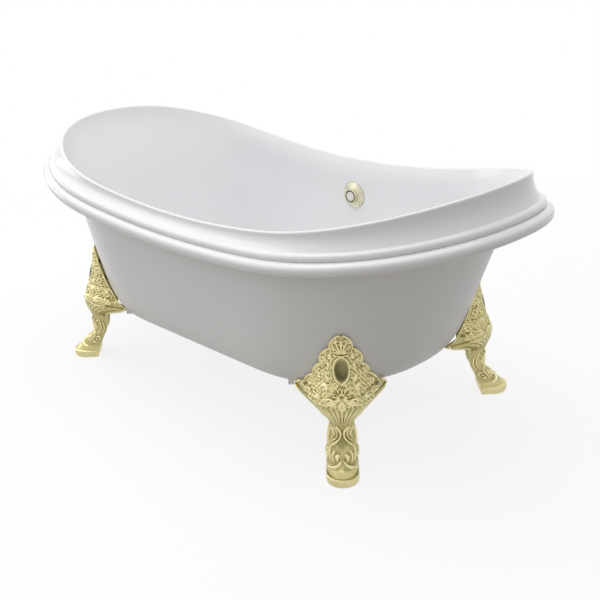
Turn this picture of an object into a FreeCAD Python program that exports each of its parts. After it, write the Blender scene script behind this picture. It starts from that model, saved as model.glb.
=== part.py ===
import FreeCAD, Part
import math
import os

# Double-ended cast iron bath with a moulded saddle rim, on four cast clawfoot legs,
# with an overflow fitting on the long wall and a pop-up drain under it.
# Millimetres. The origin is on the floor under the middle of the bath, +Z is up,
# +X points to the right-hand end and +Y to the wall that carries the overflow.

os.makedirs("parts", exist_ok=True)
Vec = FreeCAD.Vector
X_AXIS = Vec(1, 0, 0)
Y_AXIS = Vec(0, 1, 0)
Z_AXIS = Vec(0, 0, 1)

# ---------------------------------------------------------------- driving dimensions
# plan, at the outside of the lower bead
bath_half_length = 914.4
bath_half_width = 467.5
straight_half_length = 366.0
end_squareness = 2.19

# rim heights above the floor in the middle, at the left end and at the right end,
# and how far the saddle curve flattens towards its ends
bead_heights = (566.5, 683.0, 673.0)
bead_flattening = 0.02
lip_heights = (651.0, 780.0, 800.0)
lip_flattening = 0.12

# section of the rim: insets from the outside of the lower bead, rises above its bottom edge
lip_inset = 62.0
lip_thickness = 13.0
collar_foot_inset = 38.0
collar_foot_rise = 53.0
collar_sweep = 2.2
upper_bead_reach = 16.5
upper_bead_drop = 13.0
groove_inset = 25.5
groove_rise = 32.5
lower_bead_crown_rise = 15.0
lower_bead_edge_inset = 5.0
apron_wall = 8.0
channel_depth = 25.0
channel_outer_inset = 66.0

# body of the bath
body_inset = 72.0
bath_wall = 8.5
bath_floor_thickness = 9.0
bath_bottom = 213.5
body_squareness = 3.0
end_taper = 180.0
end_sweep = 117.0
end_corner_reach = 99.0
side_taper = 20.0
side_sweep = -12.0
side_corner_reach = 51.0

# legs
foot_end_inset = 306.4
foot_side_inset = 112.5
foot_turn = 46.6
foot_wall = 10.0
tip_thinning = 0.25
sole_height = 26.0
sole_half_width = 46.0
sole_toe = 48.0
sole_heel = -42.0
sole_round = 5.0
cabochon_height = 68.0
cabochon_width = 49.0
cabochon_depth = 15.0
cabochon_centre = 320.0
cabochon_out = -47.0
cabochon_lean = -17.0
cabochon_rim = 5.0
volute_radius = 13.0
volute_tube = 5.5
volute_height = 128.0
volute_turn_out = 0.35

# fixing of a leg: pad on the bath, web across the leg, stud, washer and nut
pad_face = -100.0
pad_half_width = 46.0
pad_bottom = 238.0
pad_top = 290.0
pad_root = -150.0
web_thickness = 10.0
web_half_width_low = 78.0
web_half_width_high = 65.0
stud_height = 264.0
stud_radius = 6.0
stud_hole_clearance = 0.5
stud_depth = 12.0
stud_stick_out = 4.0
washer_radius = 13.0
washer_thickness = 2.5
nut_across_flats = 19.0
nut_height = 10.0

# casting lug on the long side of each leg
lug_start = 131.0
lug_width = 17.0
lug_bottom = 206.0
lug_height = 28.0
lug_out = -172.0
lug_root = -215.0

# overflow fitting, measured out from its seat on the inside of the wall
overflow_height = 524.0
overflow_hole_radius = 26.0
plate_radius = 45.0
plate_edge = 4.0
plate_shoulder = 6.4
plate_crown = 13.0
plate_flat_radius = 27.0
plate_wall = 2.5
seat_margin = 1.5
boss_radius = 36.0
boss_proud = 3.0
clamp_radius = 31.0
clamp_length = 8.0
clamp_web = 4.0
slot_radius = 9.5
slot_half_width = 3.0
hub_bore_clearance = 0.05
dial_radius = 24.0
dial_length = 9.0
dial_bevel = 2.0
dial_step = 1.0
dial_step_inner_radius = 16.3
dial_step_outer_radius = 16.8
dial_gap = 0.5
dial_hub_radius = 8.0
dial_recess_radius = 21.0
dial_recess_depth = 4.0
dial_hole_clearance = 0.5
shaft_radius = 4.0
crank_radius = 12.0
crank_thickness = 4.0
crank_setback = 5.0
screw_spread = 16.0
screw_radius = 2.0
screw_head_radius = 3.8
screw_head_height = 2.4
gasket_thickness = 3.0
gasket_radius = 33.0
elbow_flange_radius = 34.0
elbow_flange_thickness = 6.0
elbow_radius = 24.0
elbow_drop = 62.0
pipe_standoff = 35.47
overflow_tube_radius = 15.875

# pipes and slip joints
pipe_radius = 19.05
pipe_wall = 1.5
socket_radius = 23.0
socket_depth = 20.0
pipe_clearance = 0.1
slip_nut_flats = 58.0
slip_nut_length = 18.0
slip_nut_grip = 10.0
slip_washer_thickness = 3.0
waste_height = 168.0
tee_half_height = 46.0
tee_branch = 48.0
tee_branch_step = 0.6
tailpiece_end = 25.0
outlet_length = 60.0
tail_neck_radius = 18.4

# drain
waste_run = 241.0
drain_hole_radius = 26.0
drain_flange_radius = 36.5
drain_flange_thickness = 3.0
drain_body_radius = 23.5
drain_bore = 19.5
drain_body_length = 31.0
drain_gasket_thickness = 4.0
drain_gasket_radius = 34.0
shoe_radius = 32.0
shoe_cavity_radius = 27.0
shoe_thread_length = 12.0
shoe_floor = 5.0
shoe_branch = 56.0
thread_clearance = 0.05
spider_thickness = 5.0
spider_arm_width = 5.0
hub_radius = 8.0
stopper_radius = 29.0
stopper_thickness = 6.0
stopper_round = 2.5
seal_outer_radius = 27.0
seal_inner_radius = 22.0
seal_thickness = 2.0
stopper_gap = 0.3
stem_radius = 4.0

# control cable inside the pipes
cable_radius = 2.0
cable_top_bend = 27.0
cable_tee_bend = 42.0
cable_shoe_bend = 22.0
cable_offset = 9.0
cable_gap = 0.6

# ---------------------------------------------------------------- plan and height laws
END_STEPS = 9
SIDE_STEPS = 3
WALL_STEPS = 12


def quarter_plan():
    """Points and outward normals of one quarter of the plan, from the end tip to the middle."""
    reach = bath_half_length - straight_half_length
    power = 2 / end_squareness
    out = []
    for step in range(END_STEPS):
        angle = math.radians(90 * step / END_STEPS)
        x = math.cos(angle) ** power
        y = math.sin(angle) ** power
        normal = Vec(x ** (end_squareness - 1) / reach, y ** (end_squareness - 1) / bath_half_width, 0)
        normal.normalize()
        out.append((Vec(straight_half_length + reach * x, bath_half_width * y, 0), normal))
    for step in range(SIDE_STEPS + 1):
        x = straight_half_length * (1 - step / SIDE_STEPS)
        out.append((Vec(x, bath_half_width, 0), Vec(Y_AXIS)))
    return out


def full_plan():
    """The whole plan, counter-clockwise from the right-hand tip."""
    quarter = quarter_plan()

    def turned(items, sx, sy):
        return [(Vec(p.x * sx, p.y * sy, 0), Vec(n.x * sx, n.y * sy, 0)) for p, n in items]

    far_left = turned(quarter, -1, 1)[::-1]
    near_left = turned(quarter, -1, -1)
    near_right = turned(quarter, 1, -1)[::-1]
    return quarter + far_left[1:] + near_left[1:] + near_right[1:-1]


PLAN = full_plan()


def ring_parameters():
    """Chord lengths round the plan, shared by every ring so that their curves match."""
    lengths = [0.0]
    count = len(PLAN)
    for index in range(count):
        here = PLAN[index][0]
        after = PLAN[(index + 1) % count][0]
        lengths.append(lengths[-1] + here.distanceToPoint(after))
    return [length / lengths[-1] for length in lengths]


PARAMETERS = ring_parameters()


def saddle(u, heights, flattening):
    """Height of a rim line at u = -1 (left end) to 1 (right end)."""
    middle, left, right = heights
    even = (1 + flattening) * u ** 2 - flattening * u ** 4
    odd = (u + u ** 3) / 2
    return middle + ((left + right) / 2 - middle) * even + (right - left) / 2 * odd


def bead_line(u):
    return saddle(u, bead_heights, bead_flattening)


def lip_line(u):
    return saddle(u, lip_heights, lip_flattening)


def rim_ring(inset, lip_share, offset):
    """Ring of the rim: inset from the plan, at a height between the bead (0) and the lip (1)."""
    ring = []
    for point, normal in PLAN:
        u = point.x / bath_half_length
        bead = bead_line(u)
        spot = point - normal * inset
        ring.append(Vec(spot.x, spot.y, bead + (lip_line(u) - bead) * lip_share + offset))
    return ring


def narrowing(depth, turn, taper, sweep, reach):
    """Inset of the wall at a share of its depth; turn runs from 0 to 1 round the bottom corner."""
    return taper * depth + sweep * depth * (1 - depth) + reach * turn


def corner_turn(depth):
    return 1 - (1 - depth ** body_squareness) ** (1 / body_squareness)


def wall_ring(thickness, floor, level):
    """Ring of the wall, from its top at level 0 down to the flat bottom at level 1."""
    start = body_inset + thickness
    angle = math.radians(90 * level)
    depth = math.sin(angle) ** (2 / body_squareness)
    turn = 1 - math.cos(angle) ** (2 / body_squareness)
    end = narrowing(depth, turn, end_taper, end_sweep, end_corner_reach)
    side = narrowing(depth, turn, side_taper, side_sweep, side_corner_reach)
    long_scale = 1 - end / (bath_half_length - start)
    wide_scale = 1 - side / (bath_half_width - start)
    ring = []
    for point, normal in PLAN:
        top = lip_line(point.x / bath_half_length) - channel_depth
        spot = point - normal * start
        z = top + (bath_bottom + floor - top) * depth
        ring.append(Vec(spot.x * long_scale, spot.y * wide_scale, z))
    return ring


def side_wall(z, thickness, floor):
    """Distance of the long wall from the middle of the bath, at height z on the middle line."""
    top = lip_line(0) - channel_depth
    depth = (top - z) / (top - bath_bottom - floor)
    side = narrowing(depth, corner_turn(depth), side_taper, side_sweep, side_corner_reach)
    return bath_half_width - body_inset - thickness - side


LEVELS = [step / WALL_STEPS for step in range(WALL_STEPS + 1)]


# ---------------------------------------------------------------- surfaces through rings
def ring_curve(points):
    curve = Part.BSplineCurve()
    curve.interpolate(Points=points, PeriodicFlag=True, Parameters=PARAMETERS)
    return curve


def skin(rings):
    """Smooth surface through closed rings that share their parameters."""
    curves = [ring_curve(ring) for ring in rings]
    rows = [curve.getPoles() for curve in curves]
    steps = [0.0]
    for before, after in zip(rings, rings[1:]):
        gaps = [a.distanceToPoint(b) for a, b in zip(before, after)]
        steps.append(steps[-1] + sum(gaps) / len(gaps))
    columns = []
    for column in zip(*rows):
        line = Part.BSplineCurve()
        line.interpolate(Points=list(column), Parameters=steps)
        columns.append(line.getPoles())
    surface = Part.BSplineSurface()
    surface.buildFromPolesMultsKnots(columns, curves[0].getMultiplicities(), line.getMultiplicities(),
                                     curves[0].getKnots(), line.getKnots(), True, False,
                                     curves[0].Degree, line.Degree)
    return surface.toShape()


def cap(ring):
    return Part.Face(Part.Wire([ring_curve(ring).toShape()]))


def closed_solid(faces):
    shell = Part.makeShell(faces)
    shell.sewShape()
    solid = Part.Solid(shell)
    if solid.Volume < 0:
        solid.reverse()
    return solid


# ---------------------------------------------------------------- small helpers
def fused(first, *others):
    return first.multiFuse(list(others))


def tube(outer, inner, length, base, axis):
    """Cylinder with a through bore, standing on base along axis."""
    return Part.makeCylinder(outer, length, base, axis).cut(Part.makeCylinder(inner, length, base, axis))


def hexagon(across_flats, height, base, axis):
    """Hexagonal prism standing on base along axis."""
    corner = across_flats / math.sqrt(3)
    points = []
    for index in range(7):
        angle = math.radians(60 * index)
        points.append(Vec(corner * math.cos(angle), corner * math.sin(angle), 0))
    prism = Part.Face(Part.makePolygon(points)).extrude(Vec(0, 0, height))
    prism.Placement = FreeCAD.Placement(base, FreeCAD.Rotation(Z_AXIS, axis))
    return prism


def block(x_from, x_to, half_width, z_from, z_to):
    """Box that is centred on Y."""
    return Part.makeBox(x_to - x_from, 2 * half_width, z_to - z_from, Vec(x_from, -half_width, z_from))


foot_x = bath_half_length - foot_end_inset
foot_y = bath_half_width - foot_side_inset
FOOT_PLACES = {
    "front_right": (foot_x, -foot_y, -foot_turn, -1),
    "back_right": (foot_x, foot_y, foot_turn, 1),
    "back_left": (-foot_x, foot_y, 180 - foot_turn, -1),
    "front_left": (-foot_x, -foot_y, foot_turn - 180, 1),
}


def at_foot(shape, place):
    """A shape drawn with +X out from the bath, moved to one of the four legs."""
    x, y, degrees, _ = place
    moved = shape.copy()
    moved.Placement = FreeCAD.Placement(Vec(x, y, 0), FreeCAD.Rotation(Z_AXIS, degrees))
    return moved


def at_all_feet(shape):
    return Part.makeCompound([at_foot(shape, place) for place in FOOT_PLACES.values()])


# ---------------------------------------------------------------- bath casting
def lip_rings():
    radius = lip_thickness / 2
    rings = []
    for degrees in (0, 45, 90, 135, 180):
        angle = math.radians(degrees)
        inset = lip_inset + radius * (1 + math.cos(angle))
        rings.append(rim_ring(inset, 1, radius * (math.sin(angle) - 1)))
    return rings


def collar_rings():
    """Concave collar, from under the lip down and out to the top of the upper bead."""
    start = -lip_thickness / 2
    rings = []
    for share in (0, 0.35, 0.65, 0.85, 1):
        inset = lip_inset - (lip_inset - collar_foot_inset) * share ** collar_sweep
        offset = start + (collar_foot_rise - start) * share
        rings.append(rim_ring(inset, 1 - share, offset))
    return rings


def upper_bead_rings():
    crown = collar_foot_rise - upper_bead_drop
    rings = []
    for degrees in (0, 30, 60, 90):
        angle = math.radians(degrees)
        inset = collar_foot_inset - upper_bead_reach * math.sin(angle)
        rings.append(rim_ring(inset, 0, crown + upper_bead_drop * math.cos(angle)))
    rings.append(rim_ring(groove_inset, 0, groove_rise))
    return rings


def lower_bead_rings():
    rings = []
    for degrees in (0, 22.5, 45, 67.5, 90):
        angle = math.radians(degrees)
        inset = groove_inset * (1 - math.sin(angle))
        rise = lower_bead_crown_rise + (groove_rise - lower_bead_crown_rise) * math.cos(angle)
        rings.append(rim_ring(inset, 0, rise))
    for degrees in (30, 60, 90):
        angle = math.radians(degrees)
        inset = lower_bead_edge_inset * (1 - math.cos(angle))
        rings.append(rim_ring(inset, 0, lower_bead_crown_rise * (1 - math.sin(angle))))
    return rings


def apron_inside_rings():
    """Hidden face of the hollow rim: it follows the beads and the collar one wall behind them."""
    edge = lower_bead_edge_inset + apron_wall
    under_groove = groove_inset + apron_wall
    under_foot = collar_foot_inset + apron_wall
    return [
        rim_ring(lower_bead_edge_inset, 0, 0),
        rim_ring((lower_bead_edge_inset + edge) / 2, 0, 1),
        rim_ring(edge, 0, lower_bead_crown_rise / 2),
        rim_ring((edge + under_groove) / 2, 0, lower_bead_crown_rise + apron_wall / 2),
        rim_ring(under_groove, 0, groove_rise - apron_wall / 2),
        rim_ring(under_foot, 0, collar_foot_rise - apron_wall * 1.5),
        rim_ring(lip_inset - apron_wall / 2, 0.5, collar_foot_rise / 2 - channel_depth / 2 - apron_wall),
        rim_ring(channel_outer_inset, 1, -channel_depth),
    ]


def channel_roof_rings():
    middle = (channel_outer_inset + body_inset) / 2
    rise = (body_inset - channel_outer_inset) / 2
    return [
        rim_ring(channel_outer_inset, 1, -channel_depth),
        rim_ring(middle, 1, rise - channel_depth),
        rim_ring(body_inset, 1, -channel_depth),
    ]


def basin_rings():
    lip_inner = rim_ring(lip_inset + lip_thickness, 1, -lip_thickness / 2)
    return [lip_inner] + [wall_ring(bath_wall, bath_floor_thickness, level) for level in LEVELS]


def basin_core():
    """Solid that fills the basin and rises above the lip, to keep the basin clear of the pads."""
    rings = basin_rings()
    above = max(lip_heights) + channel_depth
    chimney = [[Vec(p.x, p.y, p.z + (above - p.z) * share) for p in rings[0]] for share in (0, 0.5, 1)]
    return closed_solid([skin(rings), skin(chimney), cap(chimney[-1]), cap(rings[-1])])


def bath_shell():
    outer = [wall_ring(0, 0, level) for level in LEVELS]
    basin = basin_rings()
    patches = [lip_rings(), collar_rings(), upper_bead_rings(), lower_bead_rings(),
               apron_inside_rings(), channel_roof_rings(), outer, basin]
    return closed_solid([skin(rings) for rings in patches] + [cap(outer[-1]), cap(basin[-1])])


# ---------------------------------------------------------------- where the fittings sit
floor_top = bath_bottom + bath_floor_thickness
seat_y = side_wall(overflow_height + plate_radius + seat_margin, bath_wall, bath_floor_thickness)
boss_face_y = side_wall(overflow_height, 0, 0) + boss_proud
pipe_bore = pipe_radius - pipe_wall
overflow_bore = overflow_tube_radius - pipe_wall
overflow_pipe_y = boss_face_y + pipe_standoff
drain_y = overflow_pipe_y - waste_run


def on_overflow(y):
    return Vec(0, y, overflow_height)


def foot_details():
    """Pad and lug of one leg's place on the bath, drawn at the origin: (pad, right-hand lug)."""
    pad = block(pad_root, pad_face, pad_half_width, pad_bottom, pad_top)
    lug = Part.makeBox(lug_out - lug_root, lug_width, lug_height, Vec(lug_root, lug_start, lug_bottom))
    return pad, lug


def bath_casting():
    """The bath with its pads, lugs, overflow boss and machined holes."""
    pad, lug = foot_details()
    lumps = []
    for place in FOOT_PLACES.values():
        lumps.append(at_foot(pad, place))
        sided = lug.copy() if place[3] > 0 else lug.mirror(Vec(0, 0, 0), Y_AXIS)
        lumps.append(at_foot(sided, place))
    boss_start = side_wall(overflow_height, bath_wall / 2, 0)
    lumps.append(Part.makeCylinder(boss_radius, boss_face_y - boss_start, on_overflow(boss_start), Y_AXIS))
    core = basin_core()
    body = bath_shell().multiFuse([lump.cut(core) for lump in lumps])
    reach = boss_face_y - seat_y + clamp_length
    holes = [
        Part.makeCylinder(plate_radius + seat_margin, clamp_length,
                          on_overflow(seat_y - clamp_length), Y_AXIS),
        Part.makeCylinder(overflow_hole_radius, reach, on_overflow(seat_y - clamp_length), Y_AXIS),
        Part.makeCylinder(drain_hole_radius, 2 * bath_floor_thickness,
                          Vec(0, drain_y, bath_bottom - bath_floor_thickness / 2), Z_AXIS),
    ]
    stud_hole = Part.makeCylinder(stud_radius, stud_depth, Vec(pad_face - stud_depth, 0, stud_height), X_AXIS)
    holes += [at_foot(stud_hole, place) for place in FOOT_PLACES.values()]
    for hole in holes:
        body = body.cut(hole)
    return body


# ---------------------------------------------------------------- one leg, drawn at the origin
# height, half width, front, rear edge, bow of the section (1 is a round U, 2 a parabola), and
# the share of the half width that the scalloped edge keeps. The front and the rear edge are
# distances out from the middle of the sole.
FOOT_SECTIONS = [
    (404, 10, -62, -66, 2.0, 1.00),
    (390, 25, -58, -65, 2.0, 1.00),
    (376, 34, -55, -69, 2.0, 0.95),
    (362, 42, -53, -74, 2.0, 0.83),
    (343, 54, -50, -79, 2.0, 1.00),
    (327, 61, -46, -86, 2.0, 0.97),
    (311, 67, -42, -95, 2.0, 0.88),
    (293, 75, -37, -104, 2.0, 1.00),
    (271, 86, -30, -115, 2.0, 0.90),
    (256, 94, -24, -123, 2.0, 0.98),
    (243, 102, -19, -132, 2.0, 1.00),
    (236, 109, -16, -143, 2.0, 0.94),
    (225, 121, -12, -152, 2.0, 1.00),
    (214, 127, -10, -165, 2.0, 1.00),
    (208, 119, -10, -157, 2.0, 1.00),
    (203, 103, -11, -134, 2.0, 1.00),
    (190, 80, -14, -108, 1.8, 1.00),
    (172, 59, -20, -91, 1.4, 1.00),
    (155, 42, -25, -84, 1.1, 1.00),
    (138, 37, -28, -83, 1.0, 1.00),
    (volute_height, 37, -30, -82, 0.9, 1.00),
    (106, 40, -29, -79, 0.9, 1.00),
    (82, 44, -18, -68, 0.9, 1.00),
    (60, 45, 2, -58, 0.9, 1.00),
    (40, 45, 26, -48, 0.9, 1.00),
    (20, 44, 41, -37, 0.9, 1.00),
]
SECTION_STEPS = 14


def foot_section(height, half_width, front, rear, bow, kept):
    """Closed band of one wall, open to the rear, in a level plane."""
    outer = []
    edge = math.degrees(math.asin(kept))
    for step in range(SECTION_STEPS + 1):
        angle = math.radians(edge * (2 * step / SECTION_STEPS - 1))
        out = rear + (front - rear) * max(0.0, math.cos(angle)) ** bow
        outer.append(Vec(out, half_width * math.sin(angle), height))
    inner = []
    for index, point in enumerate(outer):
        before = outer[max(0, index - 1)]
        after = outer[min(SECTION_STEPS, index + 1)]
        along = after - before
        normal = Vec(along.y, -along.x, 0)
        normal.normalize()
        inner.append(point - normal * min(foot_wall, half_width * tip_thinning))
    outer_edge = Part.BSplineCurve()
    outer_edge.interpolate(Points=outer)
    inner_edge = Part.BSplineCurve()
    inner_edge.interpolate(Points=inner[::-1])
    edges = [outer_edge.toShape(), Part.makeLine(outer[-1], inner[-1]),
             inner_edge.toShape(), Part.makeLine(inner[0], outer[0])]
    return Part.Wire(edges)


def front_line(height):
    """How far out the face of the leg stands on its middle line at a height."""
    for above, below in zip(FOOT_SECTIONS, FOOT_SECTIONS[1:]):
        if below[0] <= height <= above[0]:
            share = (height - below[0]) / (above[0] - below[0])
            return below[2] + (above[2] - below[2]) * share
    return FOOT_SECTIONS[-1][2]


def sole():
    """Flat block with a round toe that the leg stands on."""
    side = sole_toe - sole_half_width
    toe_start = Vec(side, -sole_half_width, 0)
    toe_tip = Vec(sole_toe, 0, 0)
    toe_end = Vec(side, sole_half_width, 0)
    heel_right = Vec(sole_heel, sole_half_width, 0)
    heel_left = Vec(sole_heel, -sole_half_width, 0)
    edges = [Part.Arc(toe_start, toe_tip, toe_end).toShape(), Part.makeLine(toe_end, heel_right),
             Part.makeLine(heel_right, heel_left), Part.makeLine(heel_left, toe_start)]
    slab = Part.Face(Part.Wire(edges)).extrude(Vec(0, 0, sole_height))
    return slab.makeFillet(sole_round, slab.Edges)


def mounting_web():
    """Plate across the hollow of the leg that lies against the bath's pad."""
    outline = [Vec(pad_face, -web_half_width_low, pad_bottom), Vec(pad_face, web_half_width_low, pad_bottom),
               Vec(pad_face, web_half_width_high, pad_top), Vec(pad_face, -web_half_width_high, pad_top),
               Vec(pad_face, -web_half_width_low, pad_bottom)]
    plate = Part.Face(Part.makePolygon(outline)).extrude(Vec(web_thickness, 0, 0))
    hole = Part.makeCylinder(stud_radius + stud_hole_clearance, web_thickness,
                             Vec(pad_face, 0, stud_height), X_AXIS)
    return plate.cut(hole)


def oval(half_depth, half_width, half_height):
    """Solid oval on the middle of the shield, leaning with its face."""
    stretch = FreeCAD.Matrix()
    stretch.scale(Vec(half_depth, half_width, half_height))
    egg = Part.makeSphere(1.0).transformGeometry(stretch)
    egg.Placement = FreeCAD.Placement(Vec(cabochon_out, 0, cabochon_centre),
                                      FreeCAD.Rotation(Y_AXIS, cabochon_lean))
    return egg


def volutes():
    """Two round scroll ends that face each other on the upper part of the shank."""
    rings = []
    for side in (-1, 1):
        centre = Vec(front_line(volute_height) - volute_tube / 2,
                     side * (volute_radius + volute_tube), volute_height)
        ring = Part.makeTorus(volute_radius, volute_tube, centre, Vec(1, side * volute_turn_out, 0))
        rings.append(ring)
    return rings


def leg():
    shield = Part.makeLoft([foot_section(*section) for section in FOOT_SECTIONS], True, False)
    stone = oval(cabochon_depth, cabochon_width / 2 - cabochon_rim, cabochon_height / 2 - cabochon_rim)
    rim = oval(cabochon_depth - cabochon_rim, cabochon_width / 2, cabochon_height / 2)
    return fused(shield, sole(), mounting_web(), stone, rim, *volutes())


# ---------------------------------------------------------------- fixings of a leg
def stud():
    length = stud_depth + web_thickness + washer_thickness + nut_height + stud_stick_out
    return Part.makeCylinder(stud_radius, length, Vec(pad_face - stud_depth, 0, stud_height), X_AXIS)


def stud_washer():
    base = Vec(pad_face + web_thickness, 0, stud_height)
    return tube(washer_radius, stud_radius + stud_hole_clearance, washer_thickness, base, X_AXIS)


def stud_nut():
    base = Vec(pad_face + web_thickness + washer_thickness, 0, stud_height)
    prism = hexagon(nut_across_flats, nut_height, base, X_AXIS)
    return prism.cut(Part.makeCylinder(stud_radius, nut_height, base, X_AXIS))


# ---------------------------------------------------------------- overflow
plate_face_y = seat_y - plate_crown
dial_back_y = plate_face_y - dial_gap
nose_tip_y = seat_y - (clamp_length - clamp_web)
web_face_y = seat_y - clamp_length


def turned_about_overflow(profile):
    """Solid of revolution about the overflow's axis; the profile is (radius, distance from the seat)."""
    points = [Vec(radius, seat_y - out, overflow_height) for radius, out in profile]
    face = Part.Face(Part.makePolygon(points + points[:1]))
    return face.revolve(on_overflow(seat_y), Y_AXIS, 360)


def screw_places():
    return [Vec(side * screw_spread, 0, 0) for side in (-1, 1)]


def overflow_plate():
    """Domed cover with a flat middle, hollow behind, that seats on the inside of the wall."""
    hole = dial_hub_radius + dial_hole_clearance
    plate = turned_about_overflow([
        (hole, plate_crown), (plate_flat_radius, plate_crown), (plate_radius - plate_edge, plate_shoulder),
        (plate_radius, plate_edge), (plate_radius, 0), (plate_radius - plate_wall, 0),
        (plate_radius - plate_wall - plate_edge, plate_shoulder - plate_wall),
        (plate_flat_radius, plate_crown - plate_wall), (hole, plate_crown - plate_wall)])
    for spot in screw_places():
        plate = plate.cut(Part.makeCylinder(screw_radius + thread_clearance, plate_crown,
                                            on_overflow(plate_face_y) + spot, Y_AXIS))
    return plate


def overflow_clamp():
    """Ring nut on the elbow's nose, with a slotted web that carries the shaft and the screws."""
    ring = turned_about_overflow([
        (shaft_radius + hub_bore_clearance, clamp_length), (clamp_radius, clamp_length), (clamp_radius, 0),
        (elbow_radius + thread_clearance, 0), (elbow_radius + thread_clearance, clamp_length - clamp_web),
        (shaft_radius + hub_bore_clearance, clamp_length - clamp_web)])
    for spot in screw_places():
        ring = ring.cut(Part.makeCylinder(screw_radius, clamp_length, on_overflow(web_face_y) + spot, Y_AXIS))
    for side in (-1, 1):
        slot = Part.makeBox(2 * slot_radius, clamp_web, 2 * slot_half_width,
                            Vec(-slot_radius, web_face_y,
                                overflow_height + side * slot_radius - slot_half_width))
        ring = ring.cut(slot)
    return ring


def overflow_screws():
    """Two round-headed screws through the plate into the clamp's web."""
    screws = []
    for spot in screw_places():
        head = Part.makeCylinder(screw_head_radius, screw_head_height,
                                 on_overflow(plate_face_y - screw_head_height) + spot, Y_AXIS)
        shank = Part.makeCylinder(screw_radius, nose_tip_y - plate_face_y,
                                  on_overflow(plate_face_y) + spot, Y_AXIS)
        screws.append(head.fuse(shank))
    return Part.makeCompound(screws)


def overflow_dial():
    """Round knob, hollow behind for the screw heads, with a hub that passes through the plate."""
    front = plate_crown + dial_gap + dial_length
    back = plate_crown + dial_gap
    knob = turned_about_overflow([
        (0, front - dial_step), (dial_step_inner_radius, front - dial_step),
        (dial_step_outer_radius, front), (dial_radius - dial_bevel, front),
        (dial_radius, front - dial_bevel), (dial_radius, back), (dial_recess_radius, back),
        (dial_recess_radius, back + dial_recess_depth), (dial_hub_radius, back + dial_recess_depth),
        (dial_hub_radius, clamp_length + dial_gap), (0, clamp_length + dial_gap)])
    depth = front / 2
    bore = Part.makeCylinder(shaft_radius, depth, on_overflow(seat_y - depth), Y_AXIS)
    return knob.cut(bore)


def dial_crank():
    """Shaft fixed in the dial, with a disc that pulls the cable."""
    front = (plate_crown + dial_gap + dial_length) / 2
    end = seat_y + crank_setback + crank_thickness
    shaft = Part.makeCylinder(shaft_radius, end - seat_y + front, on_overflow(seat_y - front), Y_AXIS)
    disc = Part.makeCylinder(crank_radius, crank_thickness, on_overflow(seat_y + crank_setback), Y_AXIS)
    return shaft.fuse(disc)


def overflow_gasket():
    return tube(gasket_radius, elbow_radius + thread_clearance, gasket_thickness,
                on_overflow(boss_face_y), Y_AXIS)


def socket_bore(base, axis, radius):
    """Space for a pipe end, from the mouth of a socket inwards."""
    return Part.makeCylinder(radius + pipe_clearance, socket_depth, base, axis)


def overflow_elbow():
    """Flanged elbow: nose through the wall, and a socket pointing down."""
    corner = on_overflow(overflow_pipe_y)
    reach = overflow_pipe_y - nose_tip_y
    mouth = corner - Z_AXIS * elbow_drop
    flange = Part.makeCylinder(elbow_flange_radius, elbow_flange_thickness,
                               on_overflow(boss_face_y + gasket_thickness), Y_AXIS)
    outside = fused(Part.makeCylinder(elbow_radius, reach, on_overflow(nose_tip_y), Y_AXIS),
                    Part.makeSphere(elbow_radius, corner), flange,
                    Part.makeCylinder(elbow_radius, elbow_drop / 2,
                                      corner - Z_AXIS * (elbow_drop / 2), Z_AXIS),
                    Part.makeCylinder(socket_radius, elbow_drop, mouth, Z_AXIS))
    inside = fused(Part.makeCylinder(overflow_bore, reach, on_overflow(nose_tip_y), Y_AXIS),
                   Part.makeSphere(overflow_bore, corner),
                   Part.makeCylinder(overflow_bore, elbow_drop, mouth, Z_AXIS))
    return outside.cut(inside).cut(socket_bore(mouth, Z_AXIS, overflow_tube_radius))


# ---------------------------------------------------------------- waste pipes
elbow_mouth_z = overflow_height - elbow_drop
tee_top_z = waste_height + tee_half_height
tee_bottom_z = waste_height - tee_half_height
tee_mouth_y = overflow_pipe_y - tee_branch
shoe_mouth_y = drain_y + shoe_branch


def on_pipe(z):
    return Vec(0, overflow_pipe_y, z)


def on_waste(y):
    return Vec(0, y, waste_height)


def pipe(base, end, radius):
    return tube(radius, radius - pipe_wall, base.distanceToPoint(end), base, end - base)


def overflow_pipe():
    return pipe(on_pipe(tee_top_z - socket_depth), on_pipe(elbow_mouth_z + socket_depth),
                overflow_tube_radius)


def waste_pipe():
    return pipe(on_waste(shoe_mouth_y - socket_depth), on_waste(tee_mouth_y + socket_depth), pipe_radius)


def tailpiece():
    """Tube with a full-size outlet; above it the tube is drawn in to enter the tee."""
    bottom = on_pipe(tailpiece_end)
    rise = tee_bottom_z + socket_depth - tailpiece_end
    outside = fused(Part.makeCylinder(tail_neck_radius, rise, bottom, Z_AXIS),
                    Part.makeCylinder(pipe_radius, outlet_length, bottom, Z_AXIS))
    return outside.cut(Part.makeCylinder(pipe_bore, rise, bottom, Z_AXIS))


# mouth of each socket, the direction out of it, and the radius of the pipe in it
SLIP_JOINTS = [
    (on_pipe(elbow_mouth_z), -Z_AXIS, overflow_tube_radius),
    (on_pipe(tee_top_z), Z_AXIS, overflow_tube_radius),
    (on_pipe(tee_bottom_z), -Z_AXIS, tail_neck_radius),
    (on_waste(tee_mouth_y), -Y_AXIS, pipe_radius),
    (on_waste(shoe_mouth_y), Y_AXIS, pipe_radius),
]


def slip_washers():
    rings = []
    for mouth, out, radius in SLIP_JOINTS:
        rings.append(tube(socket_radius, radius + pipe_clearance, slip_washer_thickness, mouth, out))
    return Part.makeCompound(rings)


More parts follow.
